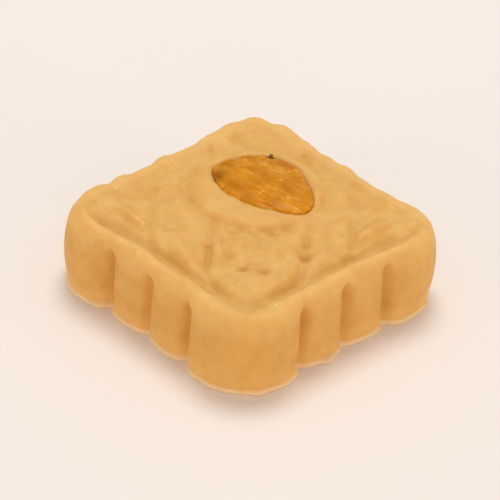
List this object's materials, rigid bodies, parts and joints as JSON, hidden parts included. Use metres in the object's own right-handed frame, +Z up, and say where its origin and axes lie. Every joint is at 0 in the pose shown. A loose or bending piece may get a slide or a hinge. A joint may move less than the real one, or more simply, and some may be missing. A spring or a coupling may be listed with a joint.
{
  "type": "moulded sandesh sweet",
  "caption": "Square fluted sandesh of moulded cheese paste, with a low relief picture on top and a golden raisin pressed in.",
  "frame": {"origin": "centre of the resting face, on the surface the sweet stands on", "axes": "+Z up; the sides run along X and Y; the moulded picture reads the right way up from the corner (+X, -Y)"},
  "size_m": [0.0448, 0.0448, 0.0141],
  "materials": {
    "paste": "satin matt cheese paste, slightly translucent",
    "raisin": "wrinkled, translucent amber skin with a soft gloss"
  },
  "bodies": {
    "root": {"sandesh": "paste", "raisin": "raisin"}
  },
  "joints": []
}
